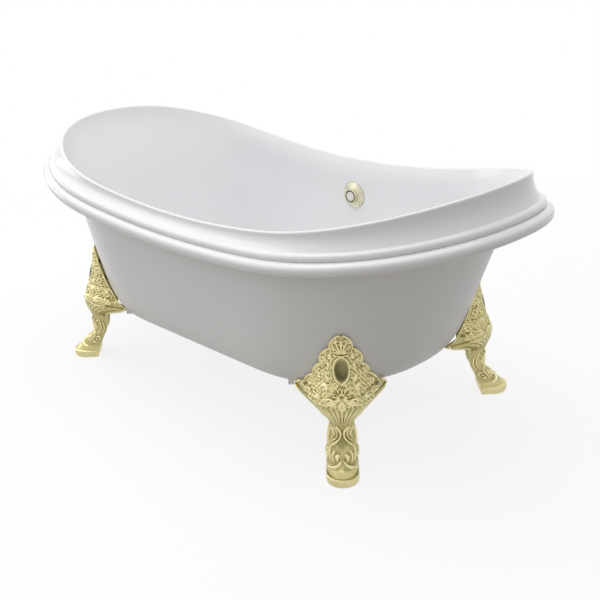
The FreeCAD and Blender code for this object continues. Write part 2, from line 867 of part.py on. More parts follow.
def slip_nuts():
    """Nuts that screw over the sockets and press the washers on them."""
    nuts = []
    for mouth, out, radius in SLIP_JOINTS:
        start = mouth - out * slip_nut_grip
        nut = hexagon(slip_nut_flats, slip_nut_length, start, out)
        nut = nut.cut(Part.makeCylinder(socket_radius + thread_clearance,
                                        slip_nut_grip + slip_washer_thickness, start, out))
        nuts.append(nut.cut(Part.makeCylinder(radius + pipe_clearance, slip_nut_length, start, out)))
    return Part.makeCompound(nuts)


def waste_tee():
    """Tee with a narrower socket up, and sockets down and towards the drain."""
    run = 2 * tee_half_height
    bottom = on_pipe(tee_bottom_z)
    middle = on_waste(overflow_pipe_y)
    outside = fused(Part.makeCylinder(socket_radius, run, bottom, Z_AXIS),
                    Part.makeCylinder(socket_radius - tee_branch_step, tee_branch, middle, -Y_AXIS))
    inside = fused(Part.makeCylinder(overflow_bore, run, bottom, Z_AXIS),
                   Part.makeCylinder(pipe_bore, waste_height + pipe_radius - tee_bottom_z, bottom, Z_AXIS),
                   Part.makeCylinder(pipe_bore - tee_branch_step, tee_branch, middle, -Y_AXIS))
    body = outside.cut(inside)
    for mouth, out, radius in SLIP_JOINTS[1:4]:
        body = body.cut(socket_bore(mouth, -out, radius))
    return body


# ---------------------------------------------------------------- drain
shoe_top_z = bath_bottom - drain_gasket_thickness
body_end_z = floor_top - drain_body_length
flange_top_z = floor_top + drain_flange_thickness
stopper_base_z = flange_top_z + stopper_gap + seal_thickness
cable_end_z = waste_height + cable_shoe_bend


def on_drain(z):
    return Vec(0, drain_y, z)


def drain_gasket():
    return tube(drain_gasket_radius, drain_body_radius + thread_clearance, drain_gasket_thickness,
                on_drain(shoe_top_z), Z_AXIS)


def drain_flange():
    """Flange on the basin floor, threaded body through it, and a spider that guides the stem."""
    flange = Part.makeCylinder(drain_flange_radius, drain_flange_thickness, on_drain(floor_top), Z_AXIS)
    flange = flange.makeFillet(drain_flange_thickness / 2, [flange.Edges[0]])
    barrel = Part.makeCylinder(drain_body_radius, drain_body_length, on_drain(body_end_z), Z_AXIS)
    outside = flange.fuse(barrel)
    body = outside.cut(Part.makeCylinder(drain_bore, drain_body_length + drain_flange_thickness,
                                         on_drain(body_end_z), Z_AXIS))
    hub = Part.makeCylinder(hub_radius, spider_thickness, on_drain(body_end_z), Z_AXIS)
    arms = []
    arm_length = drain_body_radius + drain_bore
    for size in ((arm_length, spider_arm_width), (spider_arm_width, arm_length)):
        corner = on_drain(body_end_z) - Vec(size[0] / 2, size[1] / 2, 0)
        arms.append(Part.makeBox(size[0], size[1], spider_thickness, corner))
    guide = Part.makeCylinder(stem_radius + hub_bore_clearance, spider_thickness,
                              on_drain(body_end_z), Z_AXIS)
    return fused(body, hub, *arms).cut(guide)


def drain_shoe():
    """Cup that screws on the drain body under the bath, with a socket towards the tee."""
    cavity_floor = waste_height - pipe_bore
    outside = fused(Part.makeCylinder(shoe_radius, shoe_top_z - cavity_floor + shoe_floor,
                                      on_drain(cavity_floor - shoe_floor), Z_AXIS),
                    Part.makeCylinder(socket_radius, shoe_branch, on_waste(drain_y), Y_AXIS))
    inside = fused(Part.makeCylinder(shoe_cavity_radius, shoe_top_z - shoe_thread_length - cavity_floor,
                                     on_drain(cavity_floor), Z_AXIS),
                   Part.makeCylinder(drain_body_radius + thread_clearance, shoe_top_z - cavity_floor,
                                     on_drain(cavity_floor), Z_AXIS),
                   Part.makeCylinder(pipe_bore, shoe_branch, on_waste(drain_y), Y_AXIS))
    mouth, out, radius = SLIP_JOINTS[4]
    return outside.cut(inside).cut(socket_bore(mouth, -out, radius))


def drain_stopper():
    disc = Part.makeCylinder(stopper_radius, stopper_thickness, on_drain(stopper_base_z), Z_AXIS)
    disc = disc.makeFillet(stopper_round, [disc.Edges[0]])
    return disc.cut(Part.makeCylinder(stem_radius, stopper_thickness / 2, on_drain(stopper_base_z), Z_AXIS))


def stopper_seal():
    return tube(seal_outer_radius, seal_inner_radius, seal_thickness,
                on_drain(stopper_base_z - seal_thickness), Z_AXIS)


def stopper_stem():
    start = cable_end_z + cable_gap
    length = stopper_base_z + stopper_thickness / 2 - start
    return Part.makeCylinder(stem_radius, length, on_drain(start), Z_AXIS)


def drain_cable():
    """Cable from the crank, down the overflow pipe and along the waste pipe, up under the stem."""
    top_z = overflow_height + cable_offset
    start_y = seat_y + crank_setback + crank_thickness + cable_gap
    quarter = math.sqrt(0.5)

    def bend(entry, centre, leave):
        """Quarter circle between two points about a centre."""
        middle = centre + (entry + leave - centre * 2) * quarter
        return Part.Arc(entry, middle, leave).toShape()

    bend_y = overflow_pipe_y - cable_top_bend
    top_out = Vec(0, bend_y, top_z)
    top_down = on_pipe(top_z - cable_top_bend)
    tee_in = on_pipe(waste_height + cable_tee_bend)
    tee_out = on_waste(overflow_pipe_y - cable_tee_bend)
    shoe_in = on_waste(drain_y + cable_shoe_bend)
    shoe_out = on_drain(cable_end_z)
    edges = [
        Part.makeLine(Vec(0, start_y, top_z), top_out),
        bend(top_out, Vec(0, bend_y, top_z - cable_top_bend), top_down),
        Part.makeLine(top_down, tee_in),
        bend(tee_in, Vec(0, tee_out.y, tee_in.z), tee_out),
        Part.makeLine(tee_out, shoe_in),
        bend(shoe_in, Vec(0, shoe_in.y, shoe_out.z), shoe_out),
    ]
    path = Part.Wire(edges)
    profile = Part.Wire([Part.makeCircle(cable_radius, Vec(0, start_y, top_z), Y_AXIS)])
    return path.makePipeShell([profile], True, False)


# ---------------------------------------------------------------- build
def export(name, shape):
    bad = [solid for solid in shape.Solids if not solid.isValid()]
    shape.exportStep("parts/" + name + ".step")
    box = shape.BoundBox
    print(name, "solids", len(shape.Solids), "bad", len(bad), "litres", round(shape.Volume / 1e6, 4),
          "box", [round(v, 1) for v in (box.XMin, box.XMax, box.YMin, box.YMax, box.ZMin, box.ZMax)])


if __name__ == "__main__":
    export("tub_shell", bath_casting())
    one_leg = leg()
    for place_name, foot_place in FOOT_PLACES.items():
        export("foot_" + place_name, at_foot(one_leg, foot_place))
    export("foot_studs", at_all_feet(stud()))
    export("foot_washers", at_all_feet(stud_washer()))
    export("foot_nuts", at_all_feet(stud_nut()))
    for build in (overflow_plate, overflow_clamp, overflow_screws, overflow_dial, dial_crank,
                  overflow_gasket, overflow_elbow, overflow_pipe, slip_nuts, slip_washers, waste_tee,
                  waste_pipe, tailpiece, drain_gasket, drain_flange, drain_shoe, drain_stopper,
                  stopper_seal, stopper_stem, drain_cable):
        export(build.__name__, build())
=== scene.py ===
# %% [markdown]
# # A footed bath, dressed for its photograph
# The bath is one enamelled iron casting on four gilded iron legs, with a brass overflow in its far
# wall. Its measured parts were packed beforehand and come in here as a fixed frame in metres, with
# the floor at z = 0. This file adds what a camera sees: carved legs, glazed enamel, worn gilding with
# painted shade and highlight on the legs, rubber, zinc and brass, then the floor, the light and the
# camera.

# %% The imported bath comes in
import bmesh
import bpy
import math
import numpy as np
from mathutils import Euler, Matrix, Vector
from mathutils.bvhtree import BVHTree


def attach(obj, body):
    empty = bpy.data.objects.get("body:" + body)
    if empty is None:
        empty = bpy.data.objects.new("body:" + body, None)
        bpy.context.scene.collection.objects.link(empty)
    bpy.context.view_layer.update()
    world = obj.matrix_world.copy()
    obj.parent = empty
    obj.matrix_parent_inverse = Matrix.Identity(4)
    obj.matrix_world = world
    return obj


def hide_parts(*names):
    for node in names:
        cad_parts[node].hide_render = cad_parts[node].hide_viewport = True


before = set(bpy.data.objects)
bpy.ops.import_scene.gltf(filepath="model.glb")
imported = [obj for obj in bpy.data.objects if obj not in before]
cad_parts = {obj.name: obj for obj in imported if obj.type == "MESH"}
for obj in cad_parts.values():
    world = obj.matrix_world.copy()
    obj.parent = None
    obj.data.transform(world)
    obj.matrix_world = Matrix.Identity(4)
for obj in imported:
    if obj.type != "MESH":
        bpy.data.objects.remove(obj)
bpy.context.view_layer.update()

print("nodes", len(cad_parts))

# %% [markdown]
# ## Writing finishes as sums
# A finish in Blender is a web of nodes. It could be wired by hand, but a page of links hides the
# idea behind it. Here a small class wraps one output socket, so that masks and colours are written
# as ordinary sums, and each sum adds its own node. One method adds every other kind of node.


# %% A socket that takes part in sums
class Wire:
    """An output of one node in a finish."""

    def __init__(self, tree, socket=None):
        self.tree = tree
        self.socket = socket

    def add(self, kind, settings=None, sockets=None, output=0):
        """Adds a node: its type, its settings, then the values or links of its sockets."""
        node = self.tree.nodes.new("ShaderNode" + kind)
        for name, value in (settings or {}).items():
            setattr(node, name, value)
        for name, value in (sockets or {}).items():
            if isinstance(value, Wire):
                self.tree.links.new(value.socket, node.inputs[name])
            else:
                node.inputs[name].default_value = value
        return Wire(self.tree, node.outputs[output]) if len(node.outputs) else None

    def maths(self, operation, *values):
        return self.add("Math", {"operation": operation}, dict(enumerate(values)))

    def __add__(self, other):
        return self.maths("ADD", self, other)

    def __sub__(self, other):
        return self.maths("SUBTRACT", self, other)

    def __rsub__(self, other):
        return self.maths("SUBTRACT", other, self)

    def __mul__(self, other):
        return self.maths("MULTIPLY", self, other)

    def __pow__(self, other):
        return self.maths("POWER", self, other)

    __radd__ = __add__
    __rmul__ = __mul__

    def between(self, low, high):
        """0 below low, 1 above high, smooth in between."""
        return self.add("MapRange", {"interpolation_type": "SMOOTHSTEP"},
                        {"Value": self, "From Min": low, "From Max": high})

    def mix(self, first, second, blend="MIX"):
        """This mask blends two colours; 0 gives the first."""
        colours = [c if isinstance(c, Wire) else (*c, 1.0) for c in (first, second)]
        return self.add("Mix", {"data_type": "RGBA", "blend_type": blend, "clamp_factor": True},
                        {0: self, 6: colours[0], 7: colours[1]}, output=2)

    def noise(self, scale, detail=3.0, rough=0.5):
        """Soft blotches; scale is how many fit in a metre."""
        place = self.add("TexCoord", output="Object")
        return self.add("TexNoise", sockets={"Vector": place, "Scale": scale, "Detail": detail,
                                             "Roughness": rough})

    def bump(self, height, distance, strength):
        return self.add("Bump", sockets={"Height": height, "Distance": distance, "Strength": strength})


def new_finish(name):
    """An empty material, and a wire to start its sums from."""
    material = bpy.data.materials.new(name)
    material.use_nodes = True
    material.node_tree.nodes.clear()
    return material, Wire(material.node_tree)


def glaze(wire, **sockets):
    """Closes a finish with the standard surface. Underscores stand for the spaces in socket names."""
    surface = wire.add("BsdfPrincipled", sockets={k.replace("_", " "): v for k, v in sockets.items()})
    wire.add("OutputMaterial", sockets={"Surface": surface})


print("finishes are written with", Wire.__name__)

# %% [markdown]
# ## Enamel
# The bath is porcelain enamel: glass fused on iron. It is nearly white, mirror-smooth at arm's
# length and very slightly wavy over a hand's width, because the glass flows in the kiln. The same
# glaze covers the whole casting, and the underside, which no hand polishes, is a little duller. A
# painted picture of all that would need unwrapping, so the finish works from place and slope.

# %% The enamel finish
ENAMEL_DEEP, ENAMEL_PALE = (0.855, 0.859, 0.872), (0.872, 0.876, 0.886)
ENAMEL_ROUGHNESS, UNDERSIDE_EXTRA = 0.13, 0.22
enamel, start = new_finish("vitreous_enamel")
tint = start.noise(1.6, 2.0).between(0.35, 0.65).mix(ENAMEL_DEEP, ENAMEL_PALE)
orange_peel = start.noise(90.0, 2.0)
slow_waves = start.noise(7.0, 1.0)
normal = start.add("NewGeometry", output="Normal")
facing_up = start.add("SeparateXYZ", sockets={"Vector": normal}, output="Z")
underside = (facing_up * -1).between(0.05, 0.35)
roughness = ENAMEL_ROUGHNESS + underside * UNDERSIDE_EXTRA + start.noise(25.0) * 0.05
glaze(start, Base_Color=tint, Roughness=roughness, IOR=1.5,
      Normal=start.bump(slow_waves + orange_peel * 0.04, 0.0008, 0.6))
print("enamel reads", [n.bl_idname for n in enamel.node_tree.nodes][:4])

# %% [markdown]
# ## Gilding on the legs
# The legs are cast iron with a pale, greenish gold plating. The raised scrolls are painted bright
# as highlight, and the hollows dark olive as shade. Each leg's mesh carries a number, `carving`, that
# says how high a point stands over the ground around it, and the finish reads it. That follows the
# carving exactly, where a generic shade mask would only guess.
# Below zero the number marks the dark oval stone in the middle. The fittings share the finish
# without the carving.


# %% A gilded finish, plain or driven by the carving
# Between which carving numbers the stone turns to the hollows' painted shade, that to the field,
# and the field to the crests' painted highlight.
STONE_ENDS, HOLLOW_ENDS, FIELD_ENDS = (-0.75, 0.02), (0.06, 0.46), (0.40, 0.80)
STONE_TONE, TARNISH_TONE = 0.28, 0.86


def dimmed(colour, tone):
    return tuple(c * tone for c in colour)


def gilding(name, field, highlight_and_mottle, metal, roughness, hollow_shade=None):
    """Plated metal. With a painted shade tone for the hollows, the mesh's carving picks among painted
    shade, field and painted highlight.
    """
    material, start = new_finish(name)
    mottle = start.noise(38.0, 4.0, 0.6)
    if hollow_shade:
        height = start.add("Attribute", {"attribute_name": "carving"}, output="Fac")
        height = height + (mottle - 0.5) * 0.22
        # Painted highlight on the crests and painted shade in the hollows, placed by the carving's
        # number.
        colour = height.between(*FIELD_ENDS).mix(field, highlight_and_mottle)
        colour = height.between(*HOLLOW_ENDS).mix(hollow_shade, colour)
        colour = height.between(*STONE_ENDS).mix(dimmed(hollow_shade, STONE_TONE), colour)
    else:
        colour = mottle.between(0.3, 0.7).mix(field, highlight_and_mottle)
    tarnish = start.noise(9.0, 3.0).between(0.52, 0.72) * 0.35
    colour = tarnish.mix(colour, dimmed(field, TARNISH_TONE))
    grain = start.noise(420.0, 3.0, 0.7)
    glaze(start, Base_Color=colour, Metallic=metal, Roughness=roughness + mottle * 0.12,
          Normal=start.bump(grain, 0.0005, 0.35))
    return material


# The legs' tones: field, painted highlight on the crests, painted shade in the hollows.
leg_gilding = gilding("pale_gilding", field=(0.62, 0.552, 0.265), highlight_and_mottle=(0.82, 0.735, 0.42),
                      metal=0.85, roughness=0.27, hollow_shade=(0.30, 0.27, 0.11))
print("gilding", leg_gilding.name)

# %% [markdown]
# ## The body of a leg
# A leg is a hollow shield that hugs the corner of the bath and runs down into a shank and a broad
# toe. Every level section is an arch, open to the bath. The table gives, for each height in
# millimetres, the half width, how far out the face and the edges stand from the middle of the
# sole, and how peaked the arch is. A second table gives the half width of the scalloped outline. A
# lofted surface through these arches, sampled finely enough to carve, is better than a box model
# with subdivision, because the carving needs an even grid.

# %% Arches of the leg, in millimetres
ARCHES = np.array([
    (404, 10, -62, -66, 2.0), (390, 25, -58, -65, 2.0), (376, 34, -55, -69, 2.0),
    (362, 42, -53, -74, 2.0), (343, 54, -50, -79, 2.0), (327, 61, -46, -86, 2.0),
    (311, 67, -42, -95, 2.0), (293, 75, -37, -104, 2.0), (271, 86, -30, -115, 2.0),
    (256, 95, -24, -124, 2.0), (243, 105, -19, -135, 2.0), (236, 114, -16, -147, 2.0),
    (225, 125, -12, -159, 2.0), (214, 128, -10, -166, 2.0), (205, 124, -10, -160, 2.0),
    (198, 112, -11, -144, 2.0), (187, 88, -14, -116, 1.8), (171, 62, -20, -93, 1.4),
    (155, 42, -25, -84, 1.1), (138, 37, -28, -83, 1.0), (128, 37, -30, -82, 0.9),
    (106, 40, -29, -79, 0.9), (82, 44, -18, -68, 0.9), (60, 45, 2, -58, 0.9),
    (40, 45, 26, -48, 0.9), (20, 44, 41, -37, 0.9)], float)
SCALLOPS = np.array([
    (404, 8), (400, 17), (394, 23), (386, 28), (378, 31.5), (371, 31.5), (364, 31), (361, 37),
    (356, 45), (350, 50.5), (343, 54.5), (335, 57.5), (326, 59), (318, 58), (312, 56), (308, 62),
    (303, 68), (297, 72), (290, 75.5), (283, 77.5), (276, 76.5), (272, 75), (268, 82), (263, 88.5),
    (257, 93.5), (251, 97.5), (245, 100), (241, 99), (238, 101), (236, 111), (234, 117),
    (230, 122), (225, 126), (219, 128), (20, 300)], float)
WALL = 8.0
# Points across an arch, rows down the leg, and points across the skin inside the hollow.
ACROSS, DOWN, INSIDE = 149, 300, 41
print("arches", len(ARCHES), "and outline points", len(SCALLOPS))

# %% [markdown]
# ## A curve that doesn't overshoot
# The tables give only a few heights, and a plain spline swings past its points, which would leave
# dents in the shank. Here the slope at each point is held back to what both its neighbours allow,
# so the curve rises only where the table rises.


# %% A smooth law through a table
def smooth_law(places, values):
    """A curve through the values with no overshoot, as a function of the place."""
    steps = np.diff(places)
    slopes = np.diff(values) / steps
    tangents = np.zeros(len(values))
    tangents[0], tangents[-1] = slopes[0], slopes[-1]
    for i in range(1, len(slopes)):
        before, after = slopes[i - 1], slopes[i]
        if before * after > 0:
            w1, w2 = 2 * steps[i] + steps[i - 1], steps[i] + 2 * steps[i - 1]
            tangents[i] = (w1 + w2) / (w1 / before + w2 / after)

    def law(x):
        i = np.clip(np.searchsorted(places, x) - 1, 0, len(slopes) - 1)
        t = np.clip((x - places[i]) / steps[i], 0, 1)
        a, b = (1 + 2 * t) * (1 - t) ** 2, t * (1 - t) ** 2
        c, d = t * t * (3 - 2 * t), t * t * (t - 1)
        from_before = a * values[i] + b * steps[i] * tangents[i]
        return from_before + c * values[i + 1] + d * steps[i] * tangents[i + 1]

    return law


print("halfway up a step the law gives", float(smooth_law(np.array([0, 1]), np.array([0, 1]))(0.5)))

# %% [markdown]
# ## Edges that hug the bath
# On the real bath the edges of each shield lie close to the casting. The table alone would leave
# them standing off wherever the bath bulges or falls away. So two level rays are sent at the packed
# casting from in front of the leg, one for each edge. Where both hit, the edges stand a small gap
# in front of the nearer hit. Below the bath, or where the skin is far behind, the table decides.

# %% Rays at the casting
LEG_OUT, LEG_ASIDE, LEG_TURN = 0.608, 0.355, 46.6
EDGE_GAP, FAR_BEHIND, LEAST_BULGE = 6.0, 12.0, 4.0
SHIELD_FOOT = 200.0
RAY_START, RAY_LENGTH = 0.2, 0.5
casting = BVHTree.FromObject(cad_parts["tub_shell"], bpy.context.evaluated_depsgraph_get())
near_sole = Vector((LEG_OUT, -LEG_ASIDE, 0.0))
leg_turn = math.radians(-LEG_TURN)
leg_ahead = Vector((math.cos(leg_turn), math.sin(leg_turn), 0.0))
leg_beside = Vector((-leg_ahead.y, leg_ahead.x, 0.0))


def bath_skin(side_mm, height_mm, otherwise):
    """How far out the shield's edge stands to hug the bath, or else the table's value."""
    found = []
    for sign in (1, -1):
        in_front = near_sole + leg_ahead * RAY_START + leg_beside * (sign * side_mm / 1000)
        ray_start = in_front + Vector((0, 0, height_mm / 1000))
        hit = casting.ray_cast(ray_start, -leg_ahead, RAY_LENGTH)[0]
        if hit is not None:
            found.append((hit - near_sole).dot(leg_ahead) * 1000 + EDGE_GAP)
    hugs = len(found) == 2 and height_mm > SHIELD_FOOT and max(found) > otherwise - FAR_BEHIND
    return max(found) if hugs else otherwise


print("the wing tips stand at", round(float(bath_skin(128, 219, -166)), 1), "mm from the sole's middle")

# %% [markdown]
# ## Rows of arches
# The rows are spread evenly over the leg's drop and its changes of width, so that the shallow
# shoulders of the shield get as many rows as its steep face. Each row is one arch, from edge to
# edge.

# %% The grid of arches
drops = np.abs(np.diff(ARCHES[:, 0])) + 0.5 * np.abs(np.diff(ARCHES[:, 1]))
travel = np.concatenate([[0], np.cumsum(drops)])
rows = np.linspace(0, travel[-1], DOWN)
height, half, front, rear, bow = (smooth_law(travel, ARCHES[:, k])(rows) for k in range(5))
half = np.minimum(half, np.interp(height, SCALLOPS[::-1, 0], SCALLOPS[::-1, 1]))
rear = np.array([min(bath_skin(wing, level, edge), face - LEAST_BULGE)
                 for wing, level, edge, face in zip(half, height, rear, front)])
angle = math.pi / 2 * np.linspace(-1, 1, ACROSS)[None]
out = rear[:, None] + (front - rear)[:, None] * np.clip(np.cos(angle), 0, 1) ** bow[:, None]
side = half[:, None] * np.sin(angle)
arch_grid = np.stack([out, side, np.repeat(height[:, None], ACROSS, 1)], -1)
print("arches", arch_grid.shape, "widest", round(float(side.max()), 1), "mm")

# %% [markdown]
# ## Where carving goes
# Scrolls look right when they are drawn on the skin itself, so each point of the grid gets its
# distance from the middle line, measured along its arch. Strokes are given as side and height in
# millimetres, as seen from in front, and are moved to that measure.

# %% Distances along the arches
run = np.linalg.norm(np.diff(arch_grid[..., :2], axis=1), axis=-1)
along = np.concatenate([np.zeros((DOWN, 1)), np.cumsum(run, 1)], 1)
along -= along[:, ACROSS // 2:ACROSS // 2 + 1]
skin = np.stack([along, arch_grid[..., 2]], -1)


def on_skin(points):
    """Side and height of points, changed to distance along the arch and height."""
    moved = []
    for across_mm, up in points:
        row = int(np.argmin(np.abs(height - up)))
        moved.append((math.copysign(np.interp(abs(across_mm), side[row, ACROSS // 2:],
                                              along[row, ACROSS // 2:]), across_mm), up))
    return np.array(moved, float)


def curve_through(points, count):
    """Even samples of a smooth curve through a few points."""
    points = np.asarray(points, float)
    ends = np.vstack([2 * points[0] - points[1], points, 2 * points[-1] - points[-2]])
    t = np.linspace(0, len(points) - 1, count)
    i = np.clip(t.astype(int), 0, len(points) - 2)
    f = (t - i)[:, None]
    p0, p1, p2, p3 = ends[i], ends[i + 1], ends[i + 2], ends[i + 3]
    return 0.5 * (2 * p1 + (p2 - p0) * f + (2 * p0 - 5 * p1 + 4 * p2 - p3) * f ** 2
                  + (3 * p1 - p0 - 3 * p2 + p3) * f ** 3)


print("skin reaches", round(float(along.max()), 1), "mm round the wing")

# %% [markdown]
# ## Strokes of the carving
# Old legs of this kind carry C-scrolls, ribbed leaves, a plain oval in a raised rim and a row of
# pearls. A carver cuts each as a rounded ridge that swells and tapers. A ridge here is a line of
# samples with a half width and a height at each one. The right half is drawn and then mirrored.

# %% The carver's strokes
ridges = []


def ridge(points, widths, heights, mirrored=True, count=22, drawn=False):
    """One rounded ridge; widths and heights run from its start to its end."""
    line = curve_through(points if drawn else on_skin(points), count)
    share = np.linspace(0, 1, count)
    wide = np.interp(share, np.linspace(0, 1, len(widths)), widths)
    high = np.interp(share, np.linspace(0, 1, len(heights)), heights)
    for sign in ((1, -1) if mirrored else (1,)):
        ridges.append(np.column_stack([line[:, 0] * sign, line[:, 1], wide, high]))


def scroll(centre, inner, outer, start_turn, turns, width, rise, tail=()):
    """A spiral ridge round an eye, which may run on into a tail."""
    middle = on_skin([centre])[0]
    share = np.linspace(0, 1, 15)
    turn = np.radians(start_turn + 360 * turns * share)
    radius = inner + (outer - inner) * share
    line = middle + np.stack([radius * np.cos(turn), radius * np.sin(turn)], -1)
    if len(tail):
        line = np.vstack([line, on_skin(tail)])
    ridge(line, (width * 0.7, width, width, width * 0.5), (rise, rise, rise * 0.6), count=60,
          drawn=True)
    ridge([middle, middle + (0.5, 0.5)], (inner * 0.7,), (rise * 0.8,), count=2, drawn=True)


def spray(base, directions, lengths, curl, width, rise):
    """Leaf lobes that fan out from one spot, each curling a little."""
    foot = on_skin([base])[0]
    for direction, length in zip(directions, lengths):
        bearing = math.radians(direction)
        ahead = np.array([math.cos(bearing), math.sin(bearing)])
        aside = np.array([-ahead[1], ahead[0]]) * curl
        line = [foot, foot + ahead * length * 0.5 + aside * length * 0.12,
                foot + ahead * length - aside * length * 0.10]
        ridge(line, (width * 0.35, width, width * 0.9, width * 0.45),
              (rise * 0.5, rise, rise * 0.85, rise * 0.4), count=12, drawn=True)


print("strokes are drawn by", [stroke.__name__ for stroke in (ridge, scroll, spray)])

# %% [markdown]
# ## Scrolls and leaf sprays
# Four scrolls climb each side of the shield, and each scallop of its outline goes round one of
# them. Sprays of leaf lobes fill the room beside and below them. Each is one line: where it stands,
# its sizes, and for a spray the directions of its lobes. A loop would only hide those choices.

# %% Scrolls and sprays of the right half
scroll((50, 328), 3.5, 13, 200, 1.35, 2.6, 3.6, tail=[(33, 352), (26, 366), (22, 376)])
scroll((58, 291), 3.5, 15, 190, 1.35, 2.8, 3.6, tail=[(45, 318), (37, 330)])
scroll((84, 249), 3.5, 14, 190, 1.35, 2.8, 3.6, tail=[(66, 275), (52, 276)])
scroll((101, 226), 2.5, 8, 190, 1.1, 2.2, 3.0, tail=[(88, 240), (74, 243)])
spray((31, 318), (60, 25, -10, -45), (17, 15, 14, 15), 1, 3.0, 3.0)
spray((34, 288), (35, 5, -25, -60), (15, 15, 17, 18), -1, 3.0, 3.0)
spray((36, 262), (20, -8, -38, -70), (22, 26, 26, 20), 1, 3.2, 3.2)
spray((58, 238), (30, 5, -18, -40), (26, 34, 40, 30), -1, 3.2, 3.0)
spray((15, 232), (-5, -28, -52, -78), (40, 38, 30, 24), 1, 3.6, 3.4)
spray((26, 345), (75, 40, 5, -30), (15, 17, 18, 15), -1, 2.8, 2.8)
print("ridges so far", len(ridges))

# %% [markdown]
# ## Oval, fan and shell
# The oval in the middle is a plain polished stone shape with a raised rim and pearls round it.
# Above it sits a small shell, and below it a fan of leaves over a tongue. Most of these strokes go
# round one middle or come out of one foot, which two helpers place. The rest are drawn by points.

# %% Oval, pearls, fan and shell
OVAL_MIDDLE, OVAL_WIDE, OVAL_HIGH = 312.0, 21.5, 33.0
FAN_FOOT, SHELL_FOOT = (3, 236), (0, 356)


def round_oval(turn, wider, taller):
    """Points of a ring that is this much wider and taller than the oval, to each side."""
    return np.stack([(OVAL_WIDE + wider) * np.cos(turn),
                     OVAL_MIDDLE + (OVAL_HIGH + taller) * np.sin(turn)], -1)


def leaning(foot, lean, reach):
    """The point at this reach from a foot, leaning from upright by an angle in radians."""
    return foot[0] + reach * math.sin(lean), foot[1] + reach * math.cos(lean)


rim_line = round_oval(np.radians(np.linspace(0, 360, 73)), 1.5, 1.5)
ridge(rim_line, (2.8, 2.8), (4.0, 4.0), mirrored=False, count=120, drawn=True)
for pearl in round_oval(np.radians(np.arange(-66, 76, 11.5)), 9, 8):
    ridge([pearl, pearl + (0.2, 0)], (2.9,), (2.8,), count=2, drawn=True)
for lean, reach in zip(np.radians((0, 24, 48, 72, 98)), (30, 29, 26, 22, 16)):
    leaf = [(1.5, 234), leaning(FAN_FOOT, lean - 0.2, reach * 0.55), leaning(FAN_FOOT, lean, reach)]
    ridge(leaf, (1.2, 2.6, 2.0), (2.0, 4.0, 3.0), count=12)
for lean, reach in zip(np.radians((0, 26, 52, 80)), (38, 34, 27, 20)):
    rib = [SHELL_FOOT, leaning(SHELL_FOOT, lean, reach * 0.5), leaning(SHELL_FOOT, lean, reach)]
    ridge(rib, (1.5, 3.4, 2.2), (1.5, 3.6, 2.4), count=12)
ridge([(0, 350), (13, 351), (25, 358), (31, 368)], (2.6, 2.6, 2.0), (4.4, 4.0, 3.0))
ridge([(0, 386), (8, 391), (14, 386), (22, 384)], (2.4, 2.0), (3.6, 2.6))
ridge([(0, 232), (5, 224), (5, 212), (0, 203)], (2.4, 3.4, 1.6), (3.6, 3.8, 2.0))
ridge([(6, 236), (20, 226), (40, 217), (66, 210), (92, 208)], (2.0, 3.2, 3.0, 2.0), (3.2, 3.4, 2.6))
print("ridges so far", len(ridges))

# %% [markdown]
# ## Shank and toe
# Under the wings the metal gathers in ribs that run down into the shank. There two C-scrolls face
# each other, with finer lines inside them, long strokes and a volute on the flanks, and curls that
# close the carving over the smooth toe. The ribs are one stroke moved inwards, so they are a loop.

# %% Ribs, C-scrolls and curls
RIB_SIDES = ((112, 62, 37), (92, 50, 30), (72, 39, 23), (52, 29, 16), (32, 18, 9), (15, 9, 4))
FLANK_SIDES = (44, 54)
VOLUTE_EYE = (58, 66)
ridge([(0, 202), (0, 158)], (2.6, 1.6), (3.0, 1.6), mirrored=False)
for wing_side, bend_side, shank_side in RIB_SIDES:
    ridge([(wing_side, 209), (bend_side, 183), (shank_side, 153)], (1.6, 3.8, 2.8, 1.2),
          (1.0, 1.8, 1.6, 0.8))
for flank in FLANK_SIDES:
    ridge([(flank - 6, 148), (flank + 3, 126), (flank + 8, 104), (flank + 1, 84)],
          (1.4, 3.0, 2.6, 1.4), (1.6, 3.2, 2.6, 1.4), drawn=True)
volute_turn = np.linspace(0.4, 8.6, 40)
volute_radius = np.linspace(2.0, 13.0, 40)
volute = np.stack([volute_radius * np.cos(volute_turn), volute_radius * np.sin(volute_turn)], -1)
ridge(VOLUTE_EYE + volute, (1.8, 2.8, 2.4), (3.4, 3.6, 2.6), count=60, drawn=True)
ridge([(15, 147), (7, 136), (4, 125), (9, 109), (19, 97), (31, 88)], (2.4, 3.6, 3.4, 2.6),
      (4.2, 5.0, 3.6))
ridge([(24, 143), (15, 132), (13, 122), (18, 110), (27, 101)], (1.6, 2.4, 1.8), (2.6, 3.4, 2.4))
ridge([(31, 138), (24, 128), (23, 118), (29, 108)], (1.6, 2.4, 1.8), (2.4, 3.2, 2.2))
ridge([(33, 84), (35, 72), (33, 58)], (2.4, 3.4, 2.6), (2.8, 3.6, 2.8))
ridge([(3, 60), (12, 52), (24, 46), (37, 41)], (2.2, 3.4, 2.6), (4.2, 4.6, 3.0))
ridge([(11, 70), (16, 66), (14, 60)], (4.2, 4.8, 3.0), (3.4, 4.2, 2.6))
ridge([(22, 78), (27, 68), (26, 57)], (2.2, 3.0, 2.2), (2.6, 3.4, 2.4))
print("ridges", len(ridges))

# %% [markdown]
# ## From strokes to relief
# For every point of the grid the nearest sample of each ridge gives a round profile, and the
# highest profile wins, which leaves a crease where two strokes meet, as a chisel does. Adding the
# profiles up instead would pile strokes on each other into lumps.

# %% Relief of the strokes
flat = skin.reshape(-1, 2)
relief = np.zeros(len(flat))


